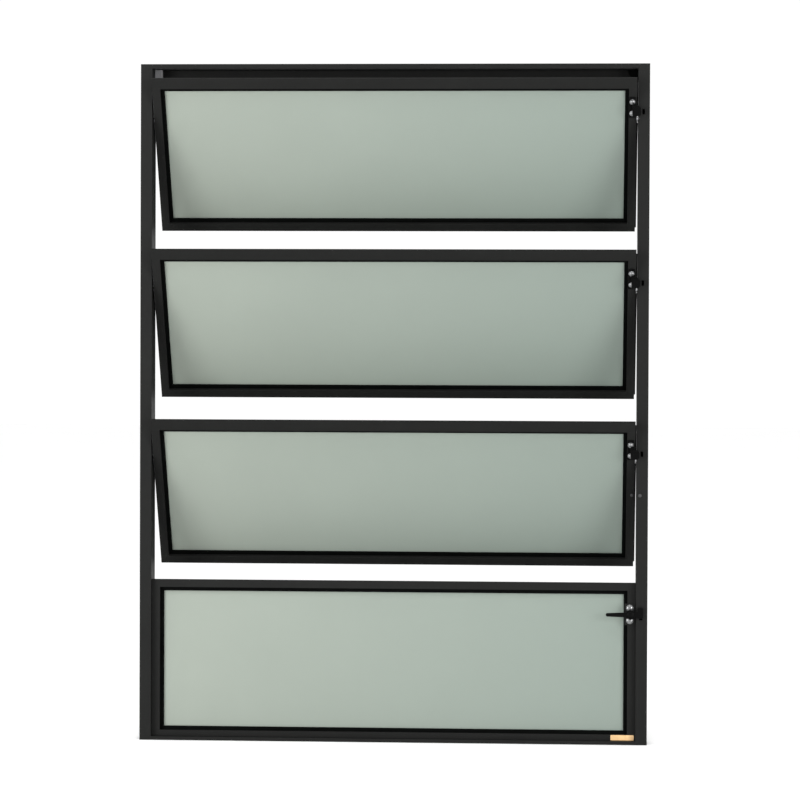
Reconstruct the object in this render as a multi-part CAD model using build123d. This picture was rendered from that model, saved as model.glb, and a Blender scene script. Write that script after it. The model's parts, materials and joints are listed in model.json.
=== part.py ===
from build123d import *
import math
import os

# An aluminium pivot window with three moving lights over one fixed light.
# X runs along the sill, Y runs outdoors and Z runs up.
# The origin is the middle of the sill's underside. All lengths are in millimetres, all angles in degrees.

# Outer frame
frame_width = 600.0
frame_height = 800.0
frame_depth = 32.0
jamb_face = 13.5
head_face = 5.0
sill_face = 4.2
wall = 1.3
head_flange_drop = 15.0

# Lights
moving_lights = 3
fixed_light_top = 190.5
head_gap = 2.5
side_gap = 1.8
light_front = 9.0
light_depth = 13.0
light_wall = 1.2
top_lip_height = 5.9
fixed_top_lip_height = 4.4
bottom_lip_height = 3.7
lap_lip_depth = 2.5
lap_gap = 1.0
corner_cut = 3.8
corner_cut_angle = 45.0

# Faces of the moving lights' profiles
stile_face = 9.4
top_rail_face = 13.5
bottom_rail_face = 9.8

# Faces of the fixed light's profiles
fixed_stile_face = 9.7
fixed_top_rail_face = 9.4
fixed_bottom_rail_face = 7.0

# Glazing
glass_thickness = 3.0
glass_recess = 6.8
glass_edge_gap = 1.0
gasket_face = 4.4
gasket_front_height = 2.5
gasket_back_height = 1.0
glazing_fin_width = 3.4
glazing_fin_thickness = 1.2

# Pivots and how far the moving lights stand open
pivot_below_top = 57.5
open_angle = 29.0
further_angle = 29.0
pivot_pin_radius = 2.0
pivot_running_gap = 0.05
bushing_wall = 1.25
bushing_length = 4.0
bushing_proud = 0.4
pin_collar_radius = 3.4
pin_collar_thickness = 0.8
pin_end_gap = 0.5

# Crank pins on the moving lights and the connecting rod in the right jamb
crank_above_pivot = 5.0
crank_before_pivot = 7.0
crank_pin_radius = 1.5
crank_collar_radius = 2.2
rod_thickness = 2.5
rod_width = 5.0
rod_wall_gap = 0.8
rod_end_reach = 6.0
open_pivot_gap = 0.3
swing_gap = 0.6
swing_steps = 8

# Stop brackets on the right stiles
bracket_below_top = 37.1
bracket_height = 26.0
bracket_width = 7.5
bracket_thickness = 1.5
tab_reach_over_jamb = 3.0
tab_height = 12.2
tab_thickness = 2.0
tab_clearance = 1.5
tab_above_pivot = 13.5
tab_post_width = 3.5
tab_rounding = 0.3
bracket_edge_gap = 1.7

# Lever on the fixed light
lever_below_light_top = 37.0
lever_axis_inside_jamb = 6.3
lever_crank_radius = 12.0
lever_crank_pin_radius = 1.5
lever_crank_pin_length = 11.0
lever_stud_radius = 2.6
lever_hub_radius = 5.6
lever_hub_height = 5.0
lever_arm_thickness = 2.5
lever_crank_width = 7.0
lever_crank_end_width = 6.4
lever_crank_end_height = 12.6
lever_crank_end_rise = 2.2
lever_crank_end_shift = 0.6
lever_crank_end_rounding = 1.5
lever_length = 27.0
lever_root_width = 6.0
lever_tip_width = 4.0
lever_base_width = 12.5
lever_base_height = 25.0
lever_base_thickness = 1.5
lever_base_edge_gap = 0.8
lever_slot_gap = 0.5
rod_block_width = 7.4
rod_block_height = 10.0

# Guide slots in the right jamb's face, one beside each stop bracket
guide_slot_width = 3.0
guide_slot_height = 6.2
guide_slot_from_edge = 7.4
guide_slot_above_pivot = 8.5

# Buffer pad and gusset in the head's corners
gusset_radius = 11.5
pad_width = 8.0
pad_height = 10.5
pad_thickness = 9.0
pad_side_gap = 0.5

# Fixing holes through the jambs
fixing_hole_radius = 2.6
fixing_hole_spacing = 500.0
fixing_hole_behind_middle = 6.0

# How far a cut runs past what it cuts
cut_overrun = 1.0

# Values worked out from the sizes above
half_width = frame_width / 2
half_depth = frame_depth / 2
light_back = light_depth - light_front
jamb_inner = half_width - jamb_face
head_bottom = frame_height - head_face
light_pitch = (head_bottom - head_gap - fixed_light_top) / moving_lights
light_half_width = jamb_inner - side_gap
light_bottom = pivot_below_top + lap_gap - light_pitch
pivot_heights = [head_bottom - head_gap - pivot_below_top - light_pitch * i for i in range(moving_lights)]
glass_front = glass_recess - light_front
glass_back = glass_front + glass_thickness
bushing_radius = pivot_pin_radius + pivot_running_gap + bushing_wall
rod_left = jamb_inner + wall + rod_wall_gap
rod_right = rod_left + rod_thickness
lever_height = fixed_light_top - lever_below_light_top
lever_axis_x = jamb_inner - lever_axis_inside_jamb
lever_arm_back = -half_depth - tab_clearance
lever_arm_front = lever_arm_back - lever_arm_thickness
lever_pin_x = lever_axis_x + lever_crank_radius
lever_slot_room = lever_crank_pin_radius + lever_slot_gap


def block(x, y, z):
    """A block between the low and high limit of each axis."""
    size = [high - low for low, high in (x, y, z)]
    middle = [(high + low) / 2 for low, high in (x, y, z)]
    return Pos(*middle) * Box(*size)


def tube(x, y, z, along, thickness):
    """A rectangular tube, open at both ends of the named axis."""
    limits = {"x": x, "y": y, "z": z}
    core = {}
    for name, (low, high) in limits.items():
        inset = 0 if name == along else thickness
        core[name] = (low + inset, high - inset)
    return block(x, y, z) - block(core["x"], core["y"], core["z"])


def round_x(x, y, z, radius):
    """A round bar along X between two limits."""
    low, high = min(x), max(x)
    return Pos((low + high) / 2, y, z) * Rot(0, 90, 0) * Cylinder(radius, high - low)


def round_y(x, y, z, radius):
    """A round bar along Y between two limits."""
    low, high = min(y), max(y)
    return Pos(x, (low + high) / 2, z) * Rot(90, 0, 0) * Cylinder(radius, high - low)


def turned(across, up, angle):
    """Where a point of a light, given from its pivot, comes to when the light opens by an angle."""
    turn = math.radians(angle)
    return (
        across * math.cos(turn) - up * math.sin(turn),
        across * math.sin(turn) + up * math.cos(turn),
    )


def opened(shape, pivot_height):
    """Puts a light's piece, modelled closed around its pivot, where it stands open in the frame."""
    return Pos(0, 0, pivot_height) * Rot(open_angle, 0, 0) * shape


def head():
    """The head with its back flange, whose right end is cut round for the gusset."""
    depth = (-half_depth, half_depth)
    profile = tube((-half_width, half_width), depth, (head_bottom, frame_height), "x", wall)
    flange = block(
        (-jamb_inner, jamb_inner),
        (half_depth - wall, half_depth),
        (head_bottom - head_flange_drop, head_bottom),
    )
    return profile + (flange - gusset_shape())


def gusset_shape():
    """The quarter-round gusset in the head's right corner."""
    depth = (half_depth - wall, half_depth)
    corner = block(
        (jamb_inner - gusset_radius, jamb_inner),
        depth,
        (head_bottom - gusset_radius, head_bottom),
    )
    return corner & round_y(jamb_inner, depth, head_bottom, gusset_radius)


def sill():
    return tube((-half_width, half_width), (-half_depth, half_depth), (0, sill_face), "x", wall)


def fixing_holes(side):
    """The two fixing screws' holes through a jamb."""
    middle = frame_height / 2
    behind = fixing_hole_behind_middle
    reach = (side * (jamb_inner - cut_overrun), side * (half_width + cut_overrun))
    low = round_x(reach, behind, middle - fixing_hole_spacing / 2, fixing_hole_radius)
    high = round_x(reach, behind, middle + fixing_hole_spacing / 2, fixing_hole_radius)
    return low + high


def jamb(side):
    """A hollow jamb with the seats of its pivot bushings."""
    reach = sorted((side * jamb_inner, side * half_width))
    through = (side * (jamb_inner - cut_overrun), side * (jamb_inner + wall + cut_overrun))
    shape = tube(reach, (-half_depth, half_depth), (sill_face, head_bottom), "z", wall)
    shape -= fixing_holes(side)
    for height in pivot_heights:
        shape -= round_x(through, 0, height, bushing_radius)
    return shape


def crank_window(height):
    """The opening in the right jamb's inner wall that a crank pin swings in."""
    angles = [(open_angle + further_angle) * step / swing_steps for step in range(swing_steps + 1)]
    spots = [turned(-crank_before_pivot, crank_above_pivot, angle) for angle in angles]
    room = crank_pin_radius + swing_gap
    depth = (min(y for y, z in spots) - room, max(y for y, z in spots) + room)
    tall = (height + min(z for y, z in spots) - room, height + max(z for y, z in spots) + room)
    return block((jamb_inner - cut_overrun, jamb_inner + wall + cut_overrun), depth, tall)


def crank_height(angle):
    """How far a light's crank pin stands above the pivot when the light is open by an angle."""
    return turned(-crank_before_pivot, crank_above_pivot, angle)[1]


def lever_travel():
    """The larger of how far the lever's crank pin moves up to close the lights and down to open them."""
    here = crank_height(open_angle)
    return max(crank_height(0) - here, here - crank_height(open_angle + further_angle))


def lever_swing():
    """How far the lever's crank pin moves inwards at the ends of its travel."""
    return lever_crank_radius - math.sqrt(lever_crank_radius**2 - lever_travel() ** 2)


def right_jamb():
    """The right jamb, with openings for the crank pins, the guides and the lever's crank pin."""
    shape = jamb(1)
    front = (-half_depth - cut_overrun, -half_depth + wall + cut_overrun)
    for height in pivot_heights:
        shape -= crank_window(height)
        slot_middle = half_width - guide_slot_from_edge
        slot_x = (slot_middle - guide_slot_width / 2, slot_middle + guide_slot_width / 2)
        spot = height + guide_slot_above_pivot
        shape -= block(slot_x, front, (spot - guide_slot_height / 2, spot + guide_slot_height / 2))
    room = (lever_pin_x - lever_slot_room - lever_swing(), lever_pin_x + lever_slot_room)
    tall = lever_travel() + lever_slot_room
    return shape - block(room, front, (lever_height - tall, lever_height + tall))


def bushings(side):
    """The plastic bushings that the lights' pivot pins turn in."""
    pieces = []
    for height in pivot_heights:
        low = jamb_inner - bushing_proud
        reach = (side * low, side * (low + bushing_length))
        sleeve = round_x(reach, 0, height, bushing_radius)
        pieces.append(sleeve - round_x(reach, 0, height, pivot_pin_radius + pivot_running_gap))
    return Part() + pieces


def buffer_pad():
    """The pad on the head's flange that the top light closes against."""
    left = -jamb_inner + pad_side_gap
    front = half_depth - wall - pad_thickness
    across = (left, left + pad_width)
    return block(across, (front, front + pad_thickness), (head_bottom - pad_height, head_bottom))


def top_rail(reach, top, face, stile, lip):
    """A light's top rail, full width, with its lap lip in front and its glazing fin below."""
    body_top = top - lip
    shape = tube(reach, (-light_front, light_back), (top - face, body_top), "x", light_wall)
    shape += block(reach, (-light_front, -light_front + lap_lip_depth), (body_top, top))
    inner = (reach[0] + stile + glazing_fin_width, reach[1] - stile - glazing_fin_width)
    return shape + fin(inner, (top - face - glazing_fin_width, top - face))


def bottom_rail(reach, bottom, face, stile, lip):
    """A light's bottom rail, full width, with its glazing fin above and a lap lip behind where it moves."""
    shape = tube(reach, (-light_front, light_back), (bottom, bottom + face), "x", light_wall)
    if lip:
        shape += block(reach, (light_back - lap_lip_depth, light_back), (bottom - lip, bottom))
    inner = (reach[0] + stile + glazing_fin_width, reach[1] - stile - glazing_fin_width)
    return shape + fin(inner, (bottom + face, bottom + face + glazing_fin_width))


def fin(x, z):
    """A thin fin behind the glass."""
    front = glass_back + gasket_back_height
    return block(x, (front, front + glazing_fin_thickness), z)


def stile(outer, inner, z, side):
    """A light's upright between its rails, with its glazing fin."""
    shape = tube(sorted((outer, inner)), (-light_front, light_back), z, "z", light_wall)
    return shape + fin(sorted((inner, inner - side * glazing_fin_width)), z)


def pane(x, z, inset, y):
    """A flat plate, inset from the opening that it closes."""
    return block((x[0] + inset, x[1] - inset), y, (z[0] + inset, z[1] - inset))


def glass(x, z):
    return pane(x, z, glass_edge_gap, (glass_front, glass_back))


def gasket(x, z):
    """The glazing gasket: a channel around the edge of the glass."""
    depth = (glass_front - gasket_front_height, glass_back + gasket_back_height)
    ring = pane(x, z, 0, depth) - pane(x, z, gasket_face, depth)
    return ring - glass(x, z)


def moving_light():
    """One moving light, closed, around its pivot. Returns its pieces by name."""
    reach = (-light_half_width, light_half_width)
    top = pivot_below_top
    inner = light_half_width - stile_face
    upright = (light_bottom + bottom_rail_face, top - top_rail_face)
    sight = (-inner, inner)
    return {
        "top_rail": top_rail(reach, top, top_rail_face, stile_face, top_lip_height),
        "bottom_rail": cut_corners(
            bottom_rail(reach, light_bottom, bottom_rail_face, stile_face, bottom_lip_height)
        ),
        "stile_left": stile(-light_half_width, -inner, upright, -1),
        "stile_right": stile(light_half_width, inner, upright, 1),
        "gasket": gasket(sight, upright),
        "glass": glass(sight, upright),
        "bracket": bracket(),
        "pivot_pins": pivot_pins(),
    }


def cut_corners(shape):
    """Takes the lower outer corners off a moving light's bottom rail."""
    low = light_bottom - bottom_lip_height
    middle = (light_back - light_front) / 2
    side_length = corner_cut * math.sqrt(2)
    wedge = Rot(0, corner_cut_angle, 0) * Box(side_length, light_depth + 2 * cut_overrun, side_length)
    for side in (-1, 1):
        shape -= Pos(side * light_half_width, middle, low) * wedge
    return shape


def bracket():
    """A stop bracket: a plate on the right stile and a raised tab that laps over the jamb."""
    face = -light_front
    middle = pivot_below_top - bracket_below_top
    plate_right = light_half_width - bracket_edge_gap
    plate_front = face - bracket_thickness
    tab_back = -half_depth - tab_clearance
    tab_front = tab_back - tab_thickness
    tall = (tab_above_pivot, tab_above_pivot + tab_height)
    plate = block(
        (plate_right - bracket_width, plate_right),
        (plate_front, face),
        (middle - bracket_height / 2, middle + bracket_height / 2),
    )
    post = block((plate_right - tab_post_width, plate_right), (tab_front, plate_front), tall)
    tab = block((plate_right, jamb_inner + tab_reach_over_jamb), (tab_front, tab_back), tall)
    tab = fillet(tab.edges().filter_by(Axis.Y).group_by(Axis.X)[-1], tab_height * tab_rounding)
    return plate + post + tab


def pivot_pins():
    """The two pivot pins with their collars, and the crank pin on the right."""
    pieces = []
    collar_end = light_half_width + pin_collar_thickness
    pin_end = jamb_inner - bushing_proud + bushing_length - pin_end_gap
    for side in (-1, 1):
        collar = round_x((side * light_half_width, side * collar_end), 0, 0, pin_collar_radius)
        pieces.append(collar + round_x((side * collar_end, side * pin_end), 0, 0, pivot_pin_radius))
    back, up = -crank_before_pivot, crank_above_pivot
    collar = round_x((light_half_width, collar_end), back, up, crank_collar_radius)
    pieces.append(collar + round_x((collar_end, rod_right + pin_end_gap), back, up, crank_pin_radius))
    return Part() + pieces


def connecting_rod():
    """The flat rod in the right jamb that joins the crank pins and ends in the lever's slotted block."""
    depth, rise = turned(-crank_before_pivot, crank_above_pivot, open_angle)
    across = (depth - rod_width / 2, depth + rod_width / 2)
    through = (rod_left - cut_overrun, rod_right + cut_overrun)
    shape = block((rod_left, rod_right), across, (lever_height, pivot_heights[0] + rise + rod_end_reach))
    for number, height in enumerate(pivot_heights):
        gap = pivot_running_gap if number == 0 else open_pivot_gap
        shape -= round_x(through, depth, height + rise, crank_pin_radius + gap)
    end = (lever_height - rod_block_height / 2, lever_height + rod_block_height / 2)
    shape += block((rod_left, rod_left + rod_block_width), across, end)
    slot_x = (lever_pin_x - lever_slot_room - lever_swing(), lever_pin_x + lever_slot_room)
    return shape - block(slot_x, across, (lever_height - lever_slot_room, lever_height + lever_slot_room))


def fixed_light():
    """The fixed light's pieces by name, in place in the frame."""
    reach = (-jamb_inner, jamb_inner)
    inner = jamb_inner - fixed_stile_face
    upright = (sill_face + fixed_bottom_rail_face, fixed_light_top - fixed_top_rail_face)
    sight = (-inner, inner)
    return {
        "top_rail": top_rail(
            reach, fixed_light_top, fixed_top_rail_face, fixed_stile_face, fixed_top_lip_height
        ),
        "bottom_rail": bottom_rail(reach, sill_face, fixed_bottom_rail_face, fixed_stile_face, 0),
        "stile_left": stile(-jamb_inner, -inner, upright, -1),
        "stile_right": stile(jamb_inner, inner, upright, 1),
        "gasket": gasket(sight, upright),
        "glass": glass(sight, upright),
    }


def lever_base():
    """The lever's plate on the fixed light's right stile, with the stud that the lever turns on."""
    face = -light_front
    plate_front = face - lever_base_thickness
    right = jamb_inner - lever_base_edge_gap
    plate = block(
        (right - lever_base_width, right),
        (plate_front, face),
        (lever_height - lever_base_height / 2, lever_height + lever_base_height / 2),
    )
    return plate + round_y(lever_axis_x, (lever_arm_front, plate_front), lever_height, lever_stud_radius)


def crank_end(depth):
    """The upright plate at the end of the lever's crank."""
    across = lever_pin_x - lever_crank_end_shift
    middle = lever_height + lever_crank_end_rise
    plate = block(
        (across - lever_crank_end_width / 2, across + lever_crank_end_width / 2),
        depth,
        (middle - lever_crank_end_height / 2, middle + lever_crank_end_height / 2),
    )
    return fillet(plate.edges().filter_by(Axis.Y), lever_crank_end_rounding)


def lever_handle():
    """The lever: a hub on the stud, a tapered handle to the left and a crank with its pin to the right."""
    depth = (lever_arm_front, lever_arm_back)
    middle = (lever_arm_front + lever_arm_back) / 2
    hub_end = lever_arm_front + lever_hub_height
    hub = round_y(lever_axis_x, (lever_arm_front, hub_end), lever_height, lever_hub_radius)
    tip = lever_axis_x - lever_length
    outline = Plane.XZ.offset(-middle) * Polyline(
        (lever_axis_x, lever_height + lever_root_width / 2),
        (tip, lever_height + lever_tip_width / 2),
        (tip, lever_height - lever_tip_width / 2),
        (lever_axis_x, lever_height - lever_root_width / 2),
        close=True,
    )
    handle = extrude(make_face(outline), lever_arm_thickness / 2, both=True)
    handle += round_y(tip, depth, lever_height, lever_tip_width / 2)
    crank = block(
        (lever_axis_x, lever_pin_x),
        depth,
        (lever_height - lever_crank_width / 2, lever_height + lever_crank_width / 2),
    )
    crank += crank_end(depth)
    pin_reach = (lever_arm_back, lever_arm_back + lever_crank_pin_length)
    pin = round_y(lever_pin_x, pin_reach, lever_height, lever_crank_pin_radius)
    bore_reach = (lever_arm_front - cut_overrun, hub_end + cut_overrun)
    bore = round_y(lever_axis_x, bore_reach, lever_height, lever_stud_radius + pivot_running_gap)
    return (hub + handle + crank + pin) - bore


def all_nodes():
    """Every piece by the name of its node."""
    nodes = {
        "frame_head": head(),
        "frame_sill": sill(),
        "frame_jamb_left": jamb(-1),
        "frame_jamb_right": right_jamb(),
        "pivot_bushings_left": bushings(-1),
        "pivot_bushings_right": bushings(1),
        "head_buffer_pad": buffer_pad(),
        "head_corner_gusset": gusset_shape(),
        "connecting_rod": connecting_rod(),
        "lever_base": lever_base(),
        "lever_handle": lever_handle(),
    }
    for name, shape in fixed_light().items():
        nodes[f"fixed_light_{name}"] = shape
    pieces = moving_light()
    for number, height in enumerate(pivot_heights, start=1):
        for name, shape in pieces.items():
            nodes[f"sash_{number}_{name}"] = opened(shape, height)
    return nodes


os.makedirs("parts", exist_ok=True)
for name, shape in all_nodes().items():
    export_step(shape, f"parts/{name}.step")
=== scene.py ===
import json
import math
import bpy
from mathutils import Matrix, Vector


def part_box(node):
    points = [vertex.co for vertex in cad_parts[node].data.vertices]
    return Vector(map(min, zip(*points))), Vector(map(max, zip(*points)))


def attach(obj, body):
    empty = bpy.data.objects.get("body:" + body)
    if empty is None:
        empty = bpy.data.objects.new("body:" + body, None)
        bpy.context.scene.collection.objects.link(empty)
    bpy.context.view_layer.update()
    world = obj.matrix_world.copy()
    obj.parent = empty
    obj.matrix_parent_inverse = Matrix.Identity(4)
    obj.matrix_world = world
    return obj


bl_info = {
    "name": "Pivot window",
    "version": (1, 0, 0),
    "blender": (4, 5, 0),
    "location": "3D View > Sidebar > Pivot window",
    "description": "Finishes, fasteners and studio of an aluminium pivot window",
    "category": "Object",
}

import bmesh
import bpy
from bpy.props import FloatProperty, FloatVectorProperty, PointerProperty
from mathutils import Matrix, Vector

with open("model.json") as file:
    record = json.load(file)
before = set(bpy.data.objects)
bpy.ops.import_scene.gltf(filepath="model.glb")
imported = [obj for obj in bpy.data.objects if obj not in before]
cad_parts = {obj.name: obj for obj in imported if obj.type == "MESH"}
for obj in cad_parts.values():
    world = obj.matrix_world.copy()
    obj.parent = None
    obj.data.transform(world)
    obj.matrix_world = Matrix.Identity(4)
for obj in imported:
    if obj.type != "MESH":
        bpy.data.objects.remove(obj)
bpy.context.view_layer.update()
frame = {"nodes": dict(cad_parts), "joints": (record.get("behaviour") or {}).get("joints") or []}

LIGHTS = ("sash_1", "sash_2", "sash_3")
JOINTS = {joint["name"]: joint for joint in frame["joints"]}
PIVOTS = {name: Vector(JOINTS[f"{name}_pivot"]["pos_m"]) for name in LIGHTS}
OPEN_ANGLE = -math.radians(JOINTS["sash_1_pivot"]["range_deg"][0])
LEVER_AXIS = Vector(JOINTS["lever_turn"]["pos_m"])
JAMB_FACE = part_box("frame_jamb_right")[0]
LEVER_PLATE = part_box("lever_base")
BOTTOM_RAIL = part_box("fixed_light_bottom_rail")
FIXED_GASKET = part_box("fixed_light_gasket")
MM = 0.001
LIGHT_HALF_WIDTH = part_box("sash_1_top_rail")[1].x
LIGHT_FRONT = BOTTOM_RAIL[0].y
PLATE_THICKNESS = 1.5 * MM
PLATE_FRONT = LIGHT_FRONT - PLATE_THICKNESS

# Forms of the screws, the cap, the buttons and the label
TURNING_STEPS = 48
BUTTON_STEPS = 32
LABEL_CORNER_STEPS = 6
CAP_DOME_STEPS = 8
BUTTON_DOME_STEPS = 6
SCREW_DOME_STEPS = 10
RIM_SHARE = 0.4
SHOULDER_SHARE = 0.35
SCREW_BULGE = 0.9
SOFT_EDGE = 0.15 * MM
RECESS_TAPER = 0.45
RECESS_NARROWING = 0.4

# Faces of a recess arm, by the order of its corners: four below, then four above
BOX_FACES = ((3, 2, 1, 0), (4, 5, 6, 7), (0, 1, 5, 4), (1, 2, 6, 5), (2, 3, 7, 6), (3, 0, 4, 7))

# How far each cross recess is turned, in degrees
SCREW_TURN = 20
SCREW_TURN_PER_LIGHT = 37
LOWER_SCREW_TURN = 25
LEVER_SCREW_TURN = 30

# Form of the pile seals
PILE_SHOULDER = 0.22
PILE_CROWN = 0.6
PILE_STEPS = 8

# Edges flatter than these are shaded smooth, in degrees
SCREW_CREASE = 35
PLAIN_CREASE = 40
SEAL_CREASE = 50

# Painted highlight on the edges of the black finishes: a lighter tint painted on the edges, and the share
# of it that shows
EDGE_HIGHLIGHT_TINT = (0.02, 0.02, 0.02)
EDGE_HIGHLIGHT_SHARE = 0.3

# Cosines between the rounded and the true surface: an edge below the first, flat above the second
EDGE_COSINE = 0.86
FLAT_COSINE = 0.995

# How far from the middle the glass reaches its lit left tint and its darker right tint, a painted shade
# across the pane, in metres
GLASS_SHADE_REACH = 0.24

# Places and widths of the softboxes, in metres
STUDIO_TARGET = (0.0, 0.0, 0.4)
KEY_PLACE = (-2.1, -2.3, 0.7)
FILL_PLACE = (2.3, -2.3, 0.7)
TOP_PLACE = (0.1, -1.6, 2.3)
SIDE_BOX_WIDTH = 1.2
TOP_BOX_WIDTH = 0.7
FLOOR_SEGMENTS = 8

# Width of the camera's sensor, in millimetres
SENSOR_WIDTH = 36.0


def length(name, description, default):
    """A length in metres that a user may change."""
    return FloatProperty(
        name=name, description=description, default=default, min=0.0, unit="LENGTH", precision=5
    )


def angle(name, description, degrees):
    """An angle, given here in degrees."""
    return FloatProperty(name=name, description=description, default=math.radians(degrees), subtype="ANGLE")


def colour(name, description, red, green, blue):
    """A linear colour."""
    default = (red, green, blue)
    return FloatVectorProperty(
        name=name, description=description, default=default, min=0.0, max=1.0, size=3, subtype="COLOR"
    )


def brightness(name, description, default):
    """A light's power in watts, or the strength of the surroundings."""
    return FloatProperty(name=name, description=description, default=default, min=0.0)


class FastenerSizes(bpy.types.PropertyGroup):
    """Sizes of the screws, the lever's cap and the buttons."""

    head_radius: length("Screw head radius", "Half the width of a pan head", 2.9 * MM)
    head_height: length("Screw head height", "How far a pan head stands proud", 2.0 * MM)
    washer_radius: length("Washer radius", "Half the width of the washer under a head", 3.4 * MM)
    washer_height: length("Washer thickness", "Thickness of the washer under a head", 0.5 * MM)
    recess_reach: length("Recess reach", "From a head's middle to the end of its cross recess", 1.9 * MM)
    recess_width: length("Recess width", "Width of one arm of the cross recess", 0.7 * MM)
    recess_depth: length("Recess depth", "Depth of the cross recess", 1.0 * MM)
    bracket_screw_high: length("Upper bracket screw", "Upper screw above a light's pivot", 27.7 * MM)
    bracket_screw_low: length("Lower bracket screw", "Lower screw above a light's pivot", 13.1 * MM)
    bracket_screw_inset: length("Bracket screw inset", "Screws inside a light's right edge", 5.4 * MM)
    lever_head_radius: length("Lever screw head radius", "Half the width of a lever screw's head", 3.6 * MM)
    lever_washer_radius: length("Lever washer radius", "Half the width of a lever screw's washer", 4.2 * MM)
    lever_screw_offset: length("Lever screw offset", "Lever screws above and below its axis", 7.2 * MM)
    cap_radius: length("Cap radius", "Half the width of the cap on the lever's stud", 4.2 * MM)
    cap_height: length("Cap height", "Height of the cap on the lever's stud", 1.6 * MM)
    button_radius: length("Button radius", "Half the width of a dark button", 2.1 * MM)
    button_height: length("Button height", "How far a dark button stands proud", 1.0 * MM)
    jamb_button_in: length("Jamb button inset", "Jamb button outside the jamb's inner face", 4.1 * MM)
    jamb_button_up: length("Jamb button height", "Jamb button above the sill's underside", 293.4 * MM)
    light_button_in: length("Light button inset", "Third light's button inside its right edge", 2.8 * MM)
    light_button_down: length("Light button drop", "Third light's button below its pivot", 41.9 * MM)


class SealSizes(bpy.types.PropertyGroup):
    """Sizes of the pile seals on the stiles' outer faces."""

    width: length("Seal width", "Width of a pile seal", 3.0 * MM)
    behind_axis: length("Seal setback", "From a light's axis back to the seal's near edge", 0.5 * MM)
    running_gap: length("Seal running gap", "Left between the pile and the jamb", 0.25 * MM)
    backing: length("Seal backing", "Thickness of the seal's woven backing", 0.4 * MM)
    pivot_gap: length("Seal pivot gap", "From a light's axis up or down to the seal", 4.5 * MM)
    end_gap: length("Seal end gap", "From the light's top or bottom edge to the seal", 4.2 * MM)


class LabelSizes(bpy.types.PropertyGroup):
    """Size and place of the blank label."""

    width: length("Label width", "Width of the blank label", 27.5 * MM)
    margin: length("Label margin", "Rail left bare above and below the label", 0.3 * MM)
    thickness: length("Label thickness", "Thickness of the blank label", 0.35 * MM)
    corner: length("Label corner", "Radius of the label's corners", 0.8 * MM)
    middle: length("Label middle", "From the window's middle line to the label's", 271.2 * MM)


class FinishColours(bpy.types.PropertyGroup):
    """Colours of the window's finishes."""

    coat: colour("Coat", "Satin black coat on the aluminium", 0.0048, 0.0050, 0.0046)
    # The first glass colour is the lit tint on the left. The second is painted shade: the darker, cooler
    # tint the pane is drawn with towards the right, where the key light on the left falls off.
    glass: colour("Glass on the left", "Warm grey-green tint of the glass", 0.295, 0.33, 0.287)
    glass_shaded_right: colour("Glass on the right", "Cooler tint that the glass drifts to", 0.24, 0.285, 0.252)
    gasket: colour("Gasket", "Glazing gaskets and the corner gusset", 0.0008, 0.0010, 0.0009)
    hardware: colour("Hardware", "Brackets and lever", 0.0010, 0.0010, 0.0010)
    zinc: colour("Bright zinc", "Screws and washers", 0.24, 0.243, 0.246)
    steel: colour("Steel", "Pivot pins", 0.52, 0.52, 0.54)
    rod: colour("Bare aluminium", "Connecting rod", 0.62, 0.63, 0.65)
    bushing: colour("Bushing", "Pivot bushings", 0.02, 0.02, 0.021)
    felt: colour("Felt", "Buffer pad", 0.30, 0.30, 0.31)
    pile: colour("Pile", "Pile seals", 0.004, 0.004, 0.004)
    label: colour("Label", "Blank label", 0.58, 0.37, 0.17)
    label_edge: colour("Label edge", "Rim of the blank label", 0.42, 0.20, 0.06)


class StudioSettings(bpy.types.PropertyGroup):
    """The camera, the lights and the floor."""

    camera_place: FloatVectorProperty(
        name="Camera place",
        description="Where the camera stands",
        default=(0.206, -3.500, 0.4605),
        size=3,
        subtype="TRANSLATION",
        unit="LENGTH",
    )
    camera_turn: angle("Camera turn", "Turned to the left of straight ahead", 3.25)
    camera_pitch: angle("Camera pitch", "Raised above level", -0.92)
    camera_roll: angle("Camera roll", "Tilted about the line of sight", 0.22)
    lens: FloatProperty(name="Lens", description="Focal length on a 36 mm sensor", default=133.3, min=1.0)
    floor_size: length("Floor size", "Width of the floor", 30.0)
    floor_colour: colour("Floor colour", "Pale floor", 0.98, 0.98, 0.98)
    sky: brightness("Sky", "Brightness of the surroundings", 1.03)
    key: brightness("Key light", "Power of the softbox on the left, in watts", 62.0)
    fill: brightness("Fill light", "Power of the softbox on the right, in watts", 52.0)
    top: brightness("Top light", "Power of the softbox above, in watts", 18.0)


class WindowSettings(bpy.types.PropertyGroup):
    """All that a user may change."""

    fasteners: PointerProperty(type=FastenerSizes, name="Fasteners")
    seals: PointerProperty(type=SealSizes, name="Seals")
    label: PointerProperty(type=LabelSizes, name="Label")
    colours: PointerProperty(type=FinishColours, name="Colours")
    studio: PointerProperty(type=StudioSettings, name="Studio")


def settings():
    """The window's settings in this scene."""
    return bpy.context.scene.pivot_window


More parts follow.
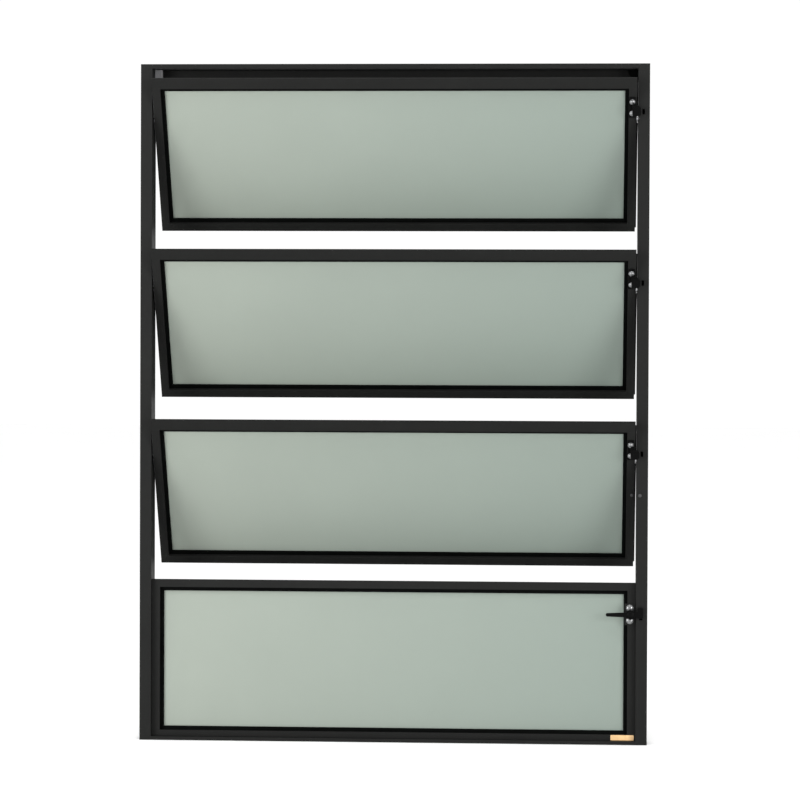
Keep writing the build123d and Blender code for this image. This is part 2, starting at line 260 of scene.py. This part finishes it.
class Finish:
    """A material in the making: its tree, its shader and short ways to add nodes to it."""

    def __init__(self, name, tint):
        self.material = bpy.data.materials.new(name)
        self.material.use_nodes = True
        self.tree = self.material.node_tree
        self.shader = self.tree.nodes["Principled BSDF"]
        self.tint = (*tint, 1.0)
        self.coordinates = self.add("ShaderNodeTexCoord").outputs["Object"]
        self.material.diffuse_color = self.tint

    def add(self, kind, **values):
        """Adds a node and sets its values."""
        node = self.tree.nodes.new(kind)
        for name, value in values.items():
            setattr(node, name, value)
        return node

    def link(self, output, target):
        """Joins an output to an input."""
        self.tree.links.new(output, target)

    def put(self, **values):
        """Sets the shader's sockets, named with underscores for spaces."""
        for name, value in values.items():
            self.shader.inputs[name.replace("_", " ")].default_value = value

    def noise(self, size, detail=3.0, roughness=0.55, stretch=(1.0, 1.0, 1.0)):
        """Noise whose features are about size metres across."""
        mapping = self.add("ShaderNodeMapping")
        mapping.inputs["Scale"].default_value = stretch
        self.link(self.coordinates, mapping.inputs["Vector"])
        texture = self.add("ShaderNodeTexNoise")
        texture.inputs["Scale"].default_value = 1.0 / size
        texture.inputs["Detail"].default_value = detail
        texture.inputs["Roughness"].default_value = roughness
        self.link(mapping.outputs["Vector"], texture.inputs["Vector"])
        return texture.outputs["Fac"]

    def cells(self, size):
        """Rounded cells about size metres across."""
        texture = self.add("ShaderNodeTexVoronoi", feature="SMOOTH_F1")
        texture.inputs["Scale"].default_value = 1.0 / size
        self.link(self.coordinates, texture.inputs["Vector"])
        return texture.outputs["Distance"]

    def spread(self, value, low, high, start=0.3, end=0.7):
        """Maps a value from start..end to low..high."""
        node = self.add("ShaderNodeMapRange")
        for name, number in (("From Min", start), ("From Max", end), ("To Min", low), ("To Max", high)):
            node.inputs[name].default_value = number
        self.link(value, node.inputs["Value"])
        return node.outputs["Result"]

    def shade(self, pattern, dark, light):
        """The tint, drifting by a pattern between a darker and a lighter share of itself."""
        drift = self.spread(pattern, 0.0, 1.0)
        mix = self.add("ShaderNodeMix", data_type="RGBA")
        mix.inputs["A"].default_value = tuple(min(1.0, c * dark) for c in self.tint[:3]) + (1.0,)
        mix.inputs["B"].default_value = tuple(min(1.0, c * light) for c in self.tint[:3]) + (1.0,)
        self.link(drift, mix.inputs["Factor"])
        return mix.outputs["Result"]

    def soft_edges(self, radius):
        """Rounds the light on sharp edges. Returns the normal."""
        bevel = self.add("ShaderNodeBevel", samples=6)
        bevel.inputs["Radius"].default_value = radius
        return bevel.outputs["Normal"]

    def edges(self, normal):
        """1 on the edges and 0 on the flats."""
        dot = self.add("ShaderNodeVectorMath", operation="DOT_PRODUCT")
        self.link(normal, dot.inputs[0])
        self.link(self.add("ShaderNodeNewGeometry").outputs["True Normal"], dot.inputs[1])
        return self.spread(dot.outputs["Value"], 1.0, 0.0, EDGE_COSINE, FLAT_COSINE)

    def bumps(self, layers, normal=None):
        """Bumps from (height, strength, distance) layers, one on another."""
        for height, strength, distance in layers:
            bump = self.add("ShaderNodeBump")
            bump.inputs["Strength"].default_value = strength
            bump.inputs["Distance"].default_value = distance
            self.link(height, bump.inputs["Height"])
            if normal is not None:
                self.link(normal, bump.inputs["Normal"])
            normal = bump.outputs["Normal"]
        self.link(normal, self.shader.inputs["Normal"])

    def overlay(self, colour_output, mask, tint, amount):
        """Mixes a tint over a colour by a mask times an amount."""
        mix = self.add("ShaderNodeMix", data_type="RGBA")
        mix.inputs["B"].default_value = (*tint, 1.0)
        self.link(colour_output, mix.inputs["A"])
        self.link(self.spread(mask, 0.0, amount, 0.0, 1.0), mix.inputs["Factor"])
        return mix.outputs["Result"]

    def paint(self, output):
        """Takes the base colour from an output."""
        self.link(output, self.shader.inputs["Base Color"])

    def roughen(self, pattern, low, high):
        """Lets the roughness drift by a pattern between two values."""
        self.link(self.spread(pattern, low, high), self.shader.inputs["Roughness"])


def satin_black_coat():
    """Powder coat on aluminium: fine orange peel, faint cloudiness, and a painted highlight that draws the
    edges a little lighter.
    """
    finish = Finish("satin_black_coat", settings().colours.coat)
    finish.put(Specular_IOR_Level=0.14)
    normal = finish.soft_edges(0.45 * MM)
    clouds = finish.noise(60 * MM, detail=4.0)
    peel = finish.noise(0.9 * MM, detail=2.0)
    base = finish.shade(clouds, 0.85, 1.18)
    # Painted highlight: the edges are drawn in a lighter tint.
    finish.paint(finish.overlay(base, finish.edges(normal), EDGE_HIGHLIGHT_TINT, EDGE_HIGHLIGHT_SHARE))
    finish.roughen(finish.noise(9 * MM), 0.52, 0.62)
    finish.bumps([(peel, 0.16, 0.08 * MM)], normal)
    return finish.material


def tinted_glass():
    """Frosted glass with small soft pebbles, with painted shade: its colour goes darker and cooler from the
    lit left to the right, where the key light on the left falls off.
    """
    finish = Finish("tinted_patterned_glass", settings().colours.glass)
    finish.put(Transmission_Weight=0.35, IOR=1.5, Specular_IOR_Level=0.25)
    base = finish.shade(finish.noise(130 * MM), 0.97, 1.03)
    # Painted shade: across X the colour goes from the lit left tint to the darker right tint.
    across = finish.add("ShaderNodeSeparateXYZ")
    finish.link(finish.coordinates, across.inputs[0])
    drift = finish.spread(across.outputs["X"], 0.0, 1.0, -GLASS_SHADE_REACH, GLASS_SHADE_REACH)
    finish.paint(finish.overlay(base, drift, settings().colours.glass_shaded_right, 1.0))
    finish.roughen(finish.noise(14 * MM), 0.42, 0.52)
    pebbles = finish.cells(2.6 * MM)
    finish.bumps([(pebbles, 0.10, 0.15 * MM), (finish.noise(1.2 * MM), 0.08, 0.06 * MM)])
    return finish.material


def gasket_rubber():
    """Black glazing rubber with a dull bloom."""
    finish = Finish("gasket_rubber", settings().colours.gasket)
    finish.put(Specular_IOR_Level=0.03)
    finish.paint(finish.shade(finish.noise(20 * MM), 0.7, 1.7))
    finish.roughen(finish.noise(5 * MM), 0.6, 0.78)
    finish.bumps([(finish.noise(0.5 * MM), 0.25, 0.05 * MM)], finish.soft_edges(0.4 * MM))
    return finish.material


def black_hardware():
    """Black stove enamel on the cast brackets and the lever, with a painted highlight that draws the edges
    a little lighter.
    """
    finish = Finish("black_hardware", settings().colours.hardware)
    finish.put(Specular_IOR_Level=0.05)
    normal = finish.soft_edges(0.5 * MM)
    base = finish.shade(finish.noise(12 * MM), 0.8, 1.4)
    # Painted highlight: the edges are drawn in a lighter tint.
    finish.paint(finish.overlay(base, finish.edges(normal), EDGE_HIGHLIGHT_TINT, EDGE_HIGHLIGHT_SHARE))
    finish.roughen(finish.noise(4 * MM), 0.36, 0.48)
    finish.bumps([(finish.noise(0.7 * MM), 0.2, 0.06 * MM)], normal)
    return finish.material


def bright_metal(name, tint, rough, grain):
    """Bare metal with fine drawn lines along X."""
    finish = Finish(name, tint)
    finish.put(Metallic=1.0)
    lines = finish.noise(grain, detail=4.0, stretch=(0.08, 1.0, 1.0))
    finish.paint(finish.shade(finish.noise(3 * MM), 0.86, 1.06))
    finish.roughen(lines, rough * 0.8, rough * 1.3)
    finish.bumps([(lines, 0.12, 0.03 * MM)], finish.soft_edges(0.2 * MM))
    return finish.material


def moulded_plastic():
    """Black nylon of the pivot bushings."""
    finish = Finish("moulded_plastic", settings().colours.bushing)
    finish.put(Specular_IOR_Level=0.4)
    finish.paint(finish.shade(finish.noise(3 * MM), 0.8, 1.3))
    finish.roughen(finish.noise(1.5 * MM), 0.45, 0.6)
    finish.bumps([(finish.noise(0.3 * MM), 0.15, 0.02 * MM)])
    return finish.material


def grey_felt():
    """Grey felt of the buffer pad, its fibres lying across."""
    finish = Finish("grey_felt", settings().colours.felt)
    finish.put(Sheen_Weight=0.3, Specular_IOR_Level=0.15)
    fibres = finish.noise(0.35 * MM, detail=6.0, roughness=0.7, stretch=(1.0, 1.0, 0.35))
    finish.paint(finish.shade(fibres, 0.75, 1.2))
    finish.roughen(fibres, 0.85, 1.0)
    finish.bumps([(fibres, 0.6, 0.25 * MM)])
    return finish.material


def black_pile():
    """Short upright fibres of the pile seals."""
    finish = Finish("black_pile", settings().colours.pile)
    finish.put(Specular_IOR_Level=0.05)
    fibres = finish.noise(0.3 * MM, detail=5.0, stretch=(0.3, 1.0, 1.0))
    finish.paint(finish.shade(fibres, 0.6, 1.6))
    finish.roughen(fibres, 0.85, 1.0)
    finish.bumps([(fibres, 0.6, 0.2 * MM)])
    return finish.material


def label_enamel():
    """Blank label: a warm lacquer, lighter in the middle, with a darker rim."""
    colours = settings().colours
    finish = Finish("label_enamel", colours.label)
    finish.put(Coat_Weight=0.4, Coat_Roughness=0.15)
    base = finish.shade(finish.noise(6 * MM), 0.88, 1.15)
    normal = finish.soft_edges(0.5 * MM)
    finish.paint(finish.overlay(base, finish.edges(normal), colours.label_edge, 0.8))
    finish.roughen(finish.noise(2 * MM), 0.3, 0.42)
    finish.bumps([(finish.noise(1.0 * MM), 0.08, 0.04 * MM)], normal)
    return finish.material


def pale_floor():
    """Pale painted studio floor."""
    finish = Finish("pale_floor", settings().studio.floor_colour)
    finish.put(Specular_IOR_Level=0.1)
    finish.paint(finish.shade(finish.noise(0.9), 0.985, 1.0))
    finish.roughen(finish.noise(0.2), 0.7, 0.8)
    return finish.material


FINISHES = {}


def finish_of(name):
    """The material of that name, made once."""
    makers = {
        "satin_black_coat": satin_black_coat,
        "tinted_glass": tinted_glass,
        "gasket_rubber": gasket_rubber,
        "black_hardware": black_hardware,
        "bright_zinc": lambda: bright_metal("bright_zinc", settings().colours.zinc, 0.26, 0.5 * MM),
        "drawn_steel": lambda: bright_metal("drawn_steel", settings().colours.steel, 0.34, 0.4 * MM),
        "bare_aluminium": lambda: bright_metal("bare_aluminium", settings().colours.rod, 0.38, 0.4 * MM),
        "moulded_plastic": moulded_plastic,
        "grey_felt": grey_felt,
        "black_pile": black_pile,
        "label_enamel": label_enamel,
        "pale_floor": pale_floor,
    }
    if name not in FINISHES:
        FINISHES[name] = makers[name]()
    return FINISHES[name]


def dress(nodes, finish):
    """Gives CAD nodes a finish."""
    for node in nodes:
        mesh = frame["nodes"][node].data
        mesh.materials.clear()
        mesh.materials.append(finish_of(finish))


def nodes_ending(*endings):
    """Names of the CAD nodes with one of these endings."""
    return [name for name in frame["nodes"] if name.endswith(endings)]


def new_piece(name, mesh, finish, body):
    """Puts a mesh in the scene as a piece of the window."""
    data = bpy.data.meshes.new(name)
    bmesh.ops.recalc_face_normals(mesh, faces=mesh.faces)
    mesh.to_mesh(data)
    mesh.free()
    piece = bpy.data.objects.new(name, data)
    bpy.context.scene.collection.objects.link(piece)
    data.materials.append(finish_of(finish))
    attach(piece, body)
    return piece


def smooth(piece, degrees):
    """Shades smooth across edges that are flatter than the angle."""
    limit = math.radians(degrees)
    for polygon in piece.data.polygons:
        polygon.use_smooth = True
    mesh = bmesh.new()
    mesh.from_mesh(piece.data)
    for edge in mesh.edges:
        edge.smooth = len(edge.link_faces) == 2 and edge.calc_face_angle(0.0) < limit
    mesh.to_mesh(piece.data)
    mesh.free()


def turned_form(mesh, profile, matrix, steps):
    """A form turned about its own Z from (radius, height) points."""
    rings = []
    for radius, height in profile:
        if radius == 0:
            rings.append([mesh.verts.new(matrix @ Vector((0, 0, height)))])
            continue
        ring = []
        for step in range(steps):
            turn = math.tau * step / steps
            point = Vector((radius * math.cos(turn), radius * math.sin(turn), height))
            ring.append(mesh.verts.new(matrix @ point))
        rings.append(ring)
    for low, high in zip(rings, rings[1:]):
        for step in range(steps):
            following = (step + 1) % steps
            corners = [low[step % len(low)], low[following % len(low)]]
            corners += [high[following % len(high)], high[step % len(high)]]
            distinct = [v for i, v in enumerate(corners) if v not in corners[:i]]
            if len(distinct) > 2:
                mesh.faces.new(distinct)


def arc(start, end, bulge, steps):
    """Points of a domed line between two (radius, height) points, quarter round."""
    points = []
    for step in range(steps + 1):
        turn = math.pi / 2 * step / steps
        radius = end[0] + (start[0] - end[0]) * math.cos(turn)
        height = start[1] + (end[1] - start[1]) * math.sin(turn) ** bulge
        points.append((radius, height))
    return points


def domed_disc(radius, height, matrix, steps, dome_steps):
    """The mesh of a round piece with a short rim and a domed top."""
    mesh = bmesh.new()
    dome = arc((radius, RIM_SHARE * height), (0, height), 1.0, dome_steps)
    turned_form(mesh, [(0, 0), (radius, 0)] + dome, matrix, steps)
    return mesh


def cross_recess(matrix, top):
    """The cutter of a screw's cross recess: two tapered arms."""
    sizes = settings().fasteners
    mesh = bmesh.new()
    overrun = sizes.head_height
    for quarter in range(2):
        turn = Matrix.Rotation(math.pi / 2 * quarter, 4, "Z")
        corners = []
        for height, taper in ((top - sizes.recess_depth, RECESS_TAPER), (top + overrun, 1.0)):
            reach = sizes.recess_reach * taper
            half = sizes.recess_width / 2 * (1 - RECESS_NARROWING * (1 - taper))
            for x, y in ((-reach, -half), (reach, -half), (reach, half), (-reach, half)):
                corners.append(mesh.verts.new(matrix @ turn @ Vector((x, y, height))))
        for face in BOX_FACES:
            mesh.faces.new([corners[i] for i in face])
    data = bpy.data.meshes.new("recess")
    mesh.to_mesh(data)
    mesh.free()
    cutter = bpy.data.objects.new("recess", data)
    bpy.context.scene.collection.objects.link(cutter)
    return cutter


def carve(piece, cutter):
    """Takes the cutter away from a piece for good."""
    modifier = piece.modifiers.new("recess", "BOOLEAN")
    modifier.object = cutter
    modifier.operation = "DIFFERENCE"
    modifier.solver = "EXACT"
    modifier.use_self = True
    bpy.context.view_layer.update()
    carved = bpy.data.meshes.new_from_object(piece.evaluated_get(bpy.context.evaluated_depsgraph_get()))
    piece.modifiers.clear()
    old = piece.data
    piece.data = carved
    bpy.data.meshes.remove(old)
    bpy.data.objects.remove(cutter)


def pan_screw(name, matrix, body, head_radius, washer_radius):
    """A cross-recessed pan-head screw on its washer, with its own Z outwards from its seat."""
    sizes = settings().fasteners
    mesh = bmesh.new()
    washer = [
        (0, 0),
        (washer_radius, 0),
        (washer_radius, sizes.washer_height - SOFT_EDGE),
        (washer_radius - SOFT_EDGE, sizes.washer_height),
        (head_radius, sizes.washer_height),
    ]
    top = sizes.washer_height + sizes.head_height
    shoulder = (head_radius, sizes.washer_height + SHOULDER_SHARE * sizes.head_height)
    dome = arc(shoulder, (0, top), SCREW_BULGE, SCREW_DOME_STEPS)
    turned_form(mesh, washer + dome, matrix, TURNING_STEPS)
    screw = new_piece(name, mesh, "bright_zinc", body)
    carve(screw, cross_recess(matrix, top))
    smooth(screw, SCREW_CREASE)
    return screw


def rounded_outline(width, height, radius, steps):
    """Points of a rectangle with round corners, about its middle."""
    points = []
    for quarter, (x, z) in enumerate(((1, 1), (-1, 1), (-1, -1), (1, -1))):
        centre = Vector((x * (width / 2 - radius), z * (height / 2 - radius)))
        for step in range(steps + 1):
            turn = math.pi / 2 * (quarter + step / steps)
            points.append(centre + radius * Vector((math.cos(turn), math.sin(turn))))
    return points


def plate(mesh, outline, middle, thickness):
    """A thin plate with a softened front edge, its back on the middle's Y."""
    edge = thickness / 2
    rings = []
    for shrink, depth in ((0, 0), (0, edge), (edge, thickness)):
        ring = []
        for point in outline:
            spot = point - point.normalized() * shrink
            ring.append(mesh.verts.new(middle + Vector((spot.x, -depth, spot.y))))
        rings.append(ring)
    count = len(outline)
    mesh.faces.new(rings[0])
    mesh.faces.new(rings[-1])
    for low, high in zip(rings, rings[1:]):
        for step in range(count):
            following = (step + 1) % count
            mesh.faces.new((low[step], low[following], high[following], high[step]))


def facing_indoors(place, turn=0.0, lean=0.0):
    """Stands a form on a front face: its own Z runs to -Y, it is turned about that and leans."""
    return (
        Matrix.Translation(place)
        @ Matrix.Rotation(lean, 4, "X")
        @ Matrix.Rotation(math.pi / 2, 4, "X")
        @ Matrix.Rotation(turn, 4, "Z")
    )


def on_light(name, x, above, front):
    """A point of a closed light, given from its pivot, where it stands open."""
    return PIVOTS[name] + Matrix.Rotation(OPEN_ANGLE, 4, "X") @ Vector((x, front, above))


class WINDOW_OT_dress_aluminium(bpy.types.Operator):
    """Coat the frame, the rails and the stiles"""

    bl_idname = "window.dress_aluminium"
    bl_label = "Coat the aluminium"

    def execute(self, context):
        profiles = [name for name in frame["nodes"] if name.startswith("frame_")]
        dress(profiles + nodes_ending("_rail", "_stile_left", "_stile_right"), "satin_black_coat")
        return {"FINISHED"}


class WINDOW_OT_dress_glazing(bpy.types.Operator):
    """Finish the glass and its gaskets"""

    bl_idname = "window.dress_glazing"
    bl_label = "Finish the glazing"

    def execute(self, context):
        dress(nodes_ending("_glass"), "tinted_glass")
        # The corner gusset is a rubber corner piece. Its near-black rubber also stands in for painted shade
        # in the head's right corner, behind the top light's cut corner.
        dress(nodes_ending("_gasket") + ["head_corner_gusset"], "gasket_rubber")
        return {"FINISHED"}


class WINDOW_OT_dress_hardware(bpy.types.Operator):
    """Finish the brackets, the lever, the rod, the pins, the bushings and the pad"""

    bl_idname = "window.dress_hardware"
    bl_label = "Finish the hardware"

    def execute(self, context):
        dress(["lever_base"], "satin_black_coat")
        dress(nodes_ending("_bracket") + ["lever_handle"], "black_hardware")
        dress(nodes_ending("_pivot_pins"), "drawn_steel")
        dress(["connecting_rod"], "bare_aluminium")
        dress(["pivot_bushings_left", "pivot_bushings_right"], "moulded_plastic")
        dress(["head_buffer_pad"], "grey_felt")
        return {"FINISHED"}


class WINDOW_OT_add_bracket_screws(bpy.types.Operator):
    """Add two pan-head screws to each stop bracket"""

    bl_idname = "window.add_bracket_screws"
    bl_label = "Add the bracket screws"

    def execute(self, context):
        sizes = settings().fasteners
        x = LIGHT_HALF_WIDTH - sizes.bracket_screw_inset
        for number, name in enumerate(LIGHTS):
            for row, above in (("upper", sizes.bracket_screw_high), ("lower", sizes.bracket_screw_low)):
                turn = SCREW_TURN + SCREW_TURN_PER_LIGHT * number
                if row == "lower":
                    turn += LOWER_SCREW_TURN
                place = on_light(name, x, above, PLATE_FRONT)
                stand = facing_indoors(place, math.radians(turn), OPEN_ANGLE)
                screw = f"{name}_bracket_screw_{row}"
                pan_screw(screw, stand, name, sizes.head_radius, sizes.washer_radius)
        return {"FINISHED"}


class WINDOW_OT_add_lever_screws(bpy.types.Operator):
    """Add the lever plate's screws and the cap on its stud"""

    bl_idname = "window.add_lever_screws"
    bl_label = "Add the lever's screws and cap"

    def execute(self, context):
        sizes = settings().fasteners
        low, high = LEVER_PLATE
        for row, side in (("upper", 1), ("lower", -1)):
            z = LEVER_AXIS.z + side * sizes.lever_screw_offset
            place = Vector(((low.x + high.x) / 2, PLATE_FRONT, z))
            stand = facing_indoors(place, math.radians(LEVER_SCREW_TURN * side))
            screw = f"lever_screw_{row}"
            pan_screw(screw, stand, "frame", sizes.lever_head_radius, sizes.lever_washer_radius)
        stand = facing_indoors(Vector((LEVER_AXIS.x, low.y, LEVER_AXIS.z)))
        mesh = domed_disc(sizes.cap_radius, sizes.cap_height, stand, TURNING_STEPS, CAP_DOME_STEPS)
        smooth(new_piece("lever_stud_cap", mesh, "black_hardware", "frame"), PLAIN_CREASE)
        return {"FINISHED"}


class WINDOW_OT_add_seals(bpy.types.Operator):
    """Add the pile seals between the moving lights and the jambs"""

    bl_idname = "window.add_seals"
    bl_label = "Add the pile seals"

    def execute(self, context):
        sizes = settings().seals
        for name in LIGHTS:
            bottom, top = self.reach(name)
            runs = {
                "upper": (sizes.pivot_gap, top - sizes.end_gap),
                "lower": (bottom + sizes.end_gap, -sizes.pivot_gap),
            }
            for side, way in (("left", -1), ("right", 1)):
                for row, (low, high) in runs.items():
                    mesh = self.strip(name, way, low, high)
                    seal = f"{name}_seal_{side}_{row}"
                    smooth(new_piece(seal, mesh, "black_pile", name), SEAL_CREASE)
        return {"FINISHED"}

    def reach(self, name):
        """Heights of a closed light's bottom and top edges above its pivot, behind the seals."""
        turn_back = Matrix.Rotation(-OPEN_ANGLE, 4, "X")
        sizes = settings().seals
        heights = []
        for rail in ("bottom_rail", "top_rail"):
            mesh = frame["nodes"][f"{name}_{rail}"].data
            points = [turn_back @ (vertex.co - PIVOTS[name]) for vertex in mesh.vertices]
            heights += [point.z for point in points if point.y > sizes.behind_axis + sizes.width]
        return min(heights), max(heights)

    def section(self):
        """Outline of a seal as (out from the stile, back) points: a woven backing with a crown of pile."""
        sizes = settings().seals
        proud = JAMB_FACE.x - LIGHT_HALF_WIDTH - sizes.running_gap
        near, far = sizes.behind_axis, sizes.behind_axis + sizes.width
        pile = sizes.width * PILE_SHOULDER
        points = [(0, near), (sizes.backing, near)]
        for step in range(PILE_STEPS + 1):
            turn = math.pi * step / PILE_STEPS
            across = near + pile + (sizes.width - 2 * pile) * (1 - math.cos(turn)) / 2
            crown = max(0.0, math.sin(turn)) ** PILE_CROWN
            points.append((sizes.backing + (proud - sizes.backing) * crown, across))
        return points + [(sizes.backing, far), (0, far)]

    def strip(self, name, way, low, high):
        """The mesh of one seal along a stile's outer face."""
        mesh = bmesh.new()
        ends = []
        for above in (low, high):
            ring = []
            for out, back in self.section():
                ring.append(mesh.verts.new(on_light(name, way * (LIGHT_HALF_WIDTH + out), above, back)))
            ends.append(ring)
        count = len(ends[0])
        mesh.faces.new(ends[0])
        mesh.faces.new(ends[1])
        for step in range(count):
            following = (step + 1) % count
            mesh.faces.new((ends[0][step], ends[0][following], ends[1][following], ends[1][step]))
        return mesh


class WINDOW_OT_add_label(bpy.types.Operator):
    """Add the blank label on the fixed light's bottom rail"""

    bl_idname = "window.add_label"
    bl_label = "Add the blank label"

    def execute(self, context):
        sizes = settings().label
        bottom = BOTTOM_RAIL[0].z + sizes.margin
        top = FIXED_GASKET[0].z - sizes.margin
        mesh = bmesh.new()
        outline = rounded_outline(sizes.width, top - bottom, sizes.corner, LABEL_CORNER_STEPS)
        middle = Vector((sizes.middle, LIGHT_FRONT, (bottom + top) / 2))
        plate(mesh, outline, middle, sizes.thickness)
        smooth(new_piece("blank_label", mesh, "label_enamel", "frame"), PLAIN_CREASE)
        return {"FINISHED"}


class WINDOW_OT_add_buttons(bpy.types.Operator):
    """Add the two small dark buttons beside the third light"""

    bl_idname = "window.add_buttons"
    bl_label = "Add the dark buttons"

    def execute(self, context):
        sizes = settings().fasteners
        on_jamb = Vector((JAMB_FACE.x + sizes.jamb_button_in, JAMB_FACE.y, sizes.jamb_button_up))
        x = LIGHT_HALF_WIDTH - sizes.light_button_in
        on_stile = on_light("sash_3", x, -sizes.light_button_down, LIGHT_FRONT)
        self.button("jamb_button", facing_indoors(on_jamb), "frame")
        self.button("light_button", facing_indoors(on_stile, 0.0, OPEN_ANGLE), "sash_3")
        return {"FINISHED"}

    def button(self, name, stand, body):
        """A domed button of moulded plastic."""
        sizes = settings().fasteners
        mesh = domed_disc(sizes.button_radius, sizes.button_height, stand, BUTTON_STEPS, BUTTON_DOME_STEPS)
        smooth(new_piece(name, mesh, "moulded_plastic", body), PLAIN_CREASE)


def softbox(name, place, width, power):
    """A square area light that looks at the window's middle."""
    data = bpy.data.lights.new(name, "AREA")
    data.size = width
    data.energy = power
    light = bpy.data.objects.new(name, data)
    bpy.context.scene.collection.objects.link(light)
    light.location = place
    light.rotation_mode = "QUATERNION"
    light.rotation_quaternion = (Vector(STUDIO_TARGET) - Vector(place)).to_track_quat("-Z", "Y")


class WINDOW_OT_make_stage(bpy.types.Operator):
    """Lay the floor and set the lights and the camera"""

    bl_idname = "window.make_stage"
    bl_label = "Make the stage"

    def execute(self, context):
        studio = settings().studio
        self.lay_floor(studio)
        self.light(context.scene, studio)
        self.place_camera(context.scene, studio)
        return {"FINISHED"}

    def lay_floor(self, studio):
        """The pale floor under the window."""
        mesh = bmesh.new()
        bmesh.ops.create_grid(
            mesh, x_segments=FLOOR_SEGMENTS, y_segments=FLOOR_SEGMENTS, size=studio.floor_size / 2
        )
        data = bpy.data.meshes.new("floor")
        mesh.to_mesh(data)
        mesh.free()
        floor = bpy.data.objects.new("floor", data)
        bpy.context.scene.collection.objects.link(floor)
        data.materials.append(finish_of("pale_floor"))

    def light(self, scene, studio):
        """Even white surroundings and three softboxes."""
        world = bpy.data.worlds.new("studio")
        world.use_nodes = True
        background = world.node_tree.nodes["Background"]
        background.inputs["Color"].default_value = (1.0, 1.0, 1.0, 1.0)
        background.inputs["Strength"].default_value = studio.sky
        scene.world = world
        softbox("key_softbox", KEY_PLACE, SIDE_BOX_WIDTH, studio.key)
        softbox("fill_softbox", FILL_PLACE, SIDE_BOX_WIDTH, studio.fill)
        softbox("top_softbox", TOP_PLACE, TOP_BOX_WIDTH, studio.top)

    def place_camera(self, scene, studio):
        """The camera, turned, then raised, then tilted."""
        data = bpy.data.cameras.new("camera")
        data.lens = studio.lens
        data.sensor_width = SENSOR_WIDTH
        camera = bpy.data.objects.new("camera", data)
        scene.collection.objects.link(camera)
        camera.matrix_world = (
            Matrix.Translation(studio.camera_place)
            @ Matrix.Rotation(studio.camera_turn, 4, "Z")
            @ Matrix.Rotation(math.pi / 2 + studio.camera_pitch, 4, "X")
            @ Matrix.Rotation(studio.camera_roll, 4, "Z")
        )
        scene.camera = camera
        scene.view_settings.view_transform = "Standard"


OPERATORS = (
    WINDOW_OT_dress_aluminium,
    WINDOW_OT_dress_glazing,
    WINDOW_OT_dress_hardware,
    WINDOW_OT_add_bracket_screws,
    WINDOW_OT_add_lever_screws,
    WINDOW_OT_add_seals,
    WINDOW_OT_add_label,
    WINDOW_OT_add_buttons,
    WINDOW_OT_make_stage,
)


class WINDOW_PT_pieces(bpy.types.Panel):
    """Lists the window's operators and settings"""

    bl_idname = "WINDOW_PT_pieces"
    bl_label = "Pivot window"
    bl_space_type = "VIEW_3D"
    bl_region_type = "UI"
    bl_category = "Pivot window"

    def draw(self, context):
        layout = self.layout
        for operator in OPERATORS:
            layout.operator(operator.bl_idname)
        for group_name in ("fasteners", "seals", "label", "colours", "studio"):
            group = getattr(context.scene.pivot_window, group_name)
            box = layout.box()
            box.label(text=group_name.capitalize())
            for name in group.__annotations__:
                box.prop(group, name)


GROUPS = (FastenerSizes, SealSizes, LabelSizes, FinishColours, StudioSettings, WindowSettings)


def register():
    """Makes the settings, the operators and the panel known to Blender."""
    for cls in (*GROUPS, *OPERATORS, WINDOW_PT_pieces):
        bpy.utils.register_class(cls)
    bpy.types.Scene.pivot_window = PointerProperty(type=WindowSettings)


def unregister():
    """Takes them out again."""
    del bpy.types.Scene.pivot_window
    for cls in reversed((*GROUPS, *OPERATORS, WINDOW_PT_pieces)):
        bpy.utils.unregister_class(cls)


def main():
    """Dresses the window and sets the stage."""
    register()
    bpy.ops.window.dress_aluminium()
    bpy.ops.window.dress_glazing()
    bpy.ops.window.dress_hardware()
    bpy.ops.window.add_bracket_screws()
    bpy.ops.window.add_lever_screws()
    bpy.ops.window.add_seals()
    bpy.ops.window.add_label()
    bpy.ops.window.add_buttons()
    bpy.ops.window.make_stage()


if __name__ == "__main__":
    main()
